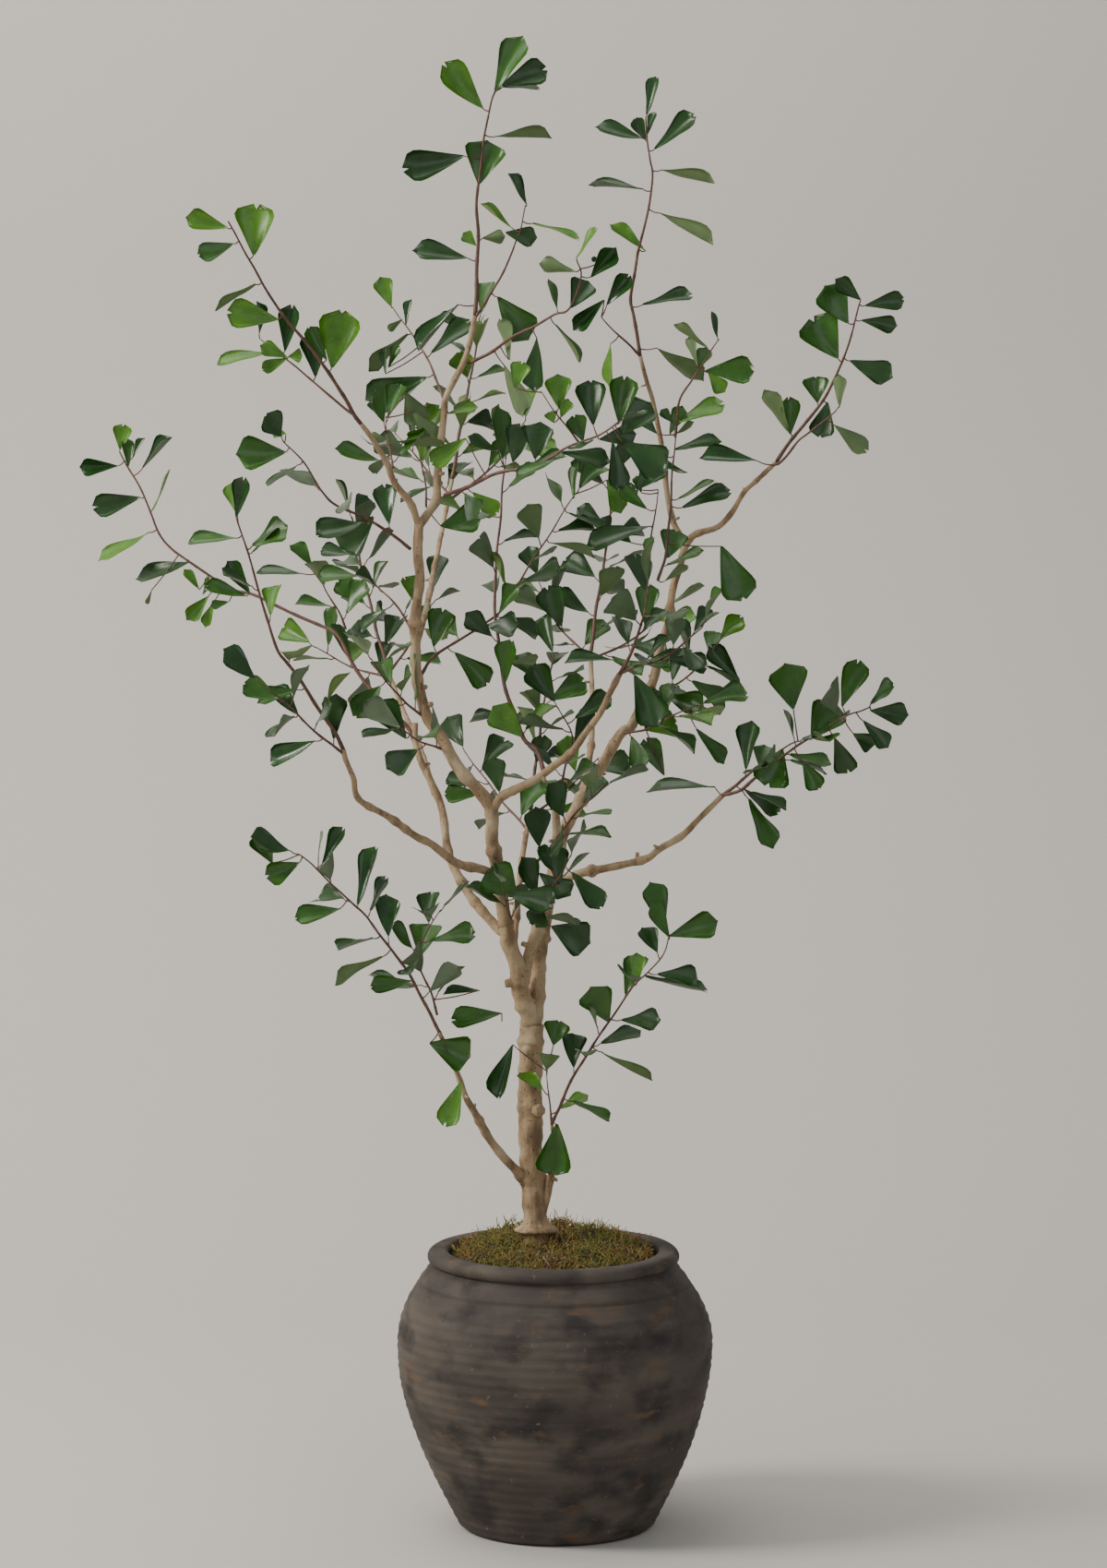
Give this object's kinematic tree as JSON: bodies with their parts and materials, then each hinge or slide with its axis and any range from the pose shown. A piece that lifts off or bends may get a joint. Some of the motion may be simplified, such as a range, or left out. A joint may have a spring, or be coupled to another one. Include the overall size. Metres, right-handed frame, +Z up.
{
  "type": "potted triangle fig tree",
  "caption": "Young triangle-leaved fig with bare forking stems and open sprays of small wedge-shaped leaves, growing in a round-bellied dark terracotta jar topped with moss.",
  "frame": {"origin": "centre of the jar's flat underside, on the floor", "axes": "+Z up along the jar's turning axis; the open side of the tree that the picture shows is seen from -Y, with +X to the right"},
  "size_m": [1.0384, 0.7043, 1.802],
  "materials": {
    "terracotta": "hand-thrown unglazed clay, weathered charcoal brown, matte",
    "soil": "dark moist potting mix, matte",
    "moss": "dry curled moss, golden olive and orange brown, matte",
    "bark": "tan beige knobbly bark with dark flecks, matte",
    "young_bark": "smooth reddish-brown young bark, satin",
    "foliage": "leathery leaves, glossy dark green above, pale grey-green and matte below"
  },
  "bodies": {
    "root": {"back_high_bough": "young_bark", "back_high_foliage": "foliage", "back_left_bough": "young_bark", "back_left_foliage": "foliage", "back_low_bough": "bark", "back_low_foliage": "foliage", "back_right_bough": "young_bark", "back_right_foliage": "foliage", "centre_bough": "bark", "centre_foliage": "foliage", "centre_low_foliage": "foliage", "centre_rear_bough": "young_bark", "centre_upper_foliage": "foliage", "cross_bough": "young_bark", "far_left_bough": "young_bark", "far_left_foliage": "foliage", "inner_stem": "bark", "leader": "bark", "left_front_bough": "bark", "left_middle_foliage": "foliage", "left_outer_foliage": "foliage", "left_rear_bough": "bark", "left_stem": "bark", "left_upper_foliage": "foliage", "low_left_foliage": "foliage", "low_left_inner_foliage": "foliage", "low_left_shoot": "bark", "low_right_foliage": "foliage", "low_right_shoot": "bark", "middle_stem": "bark", "moss": "moss", "pot": "terracotta", "rear_right_bough": "bark", "right_front_foliage": "foliage", "right_inner_foliage": "foliage", "right_low_bough": "bark", "right_low_foliage": "foliage", "right_middle_foliage": "foliage", "right_stem": "bark", "right_top_bough": "young_bark", "right_top_foliage": "foliage", "right_upper_foliage": "foliage", "soil": "soil", "top_foliage": "foliage", "top_right_bough": "young_bark", "top_right_foliage": "foliage", "trunk": "bark", "upper_leader": "bark", "upper_left_bough": "young_bark", "upper_left_foliage": "foliage", "upper_middle_foliage": "foliage"}
  },
  "joints": []
}
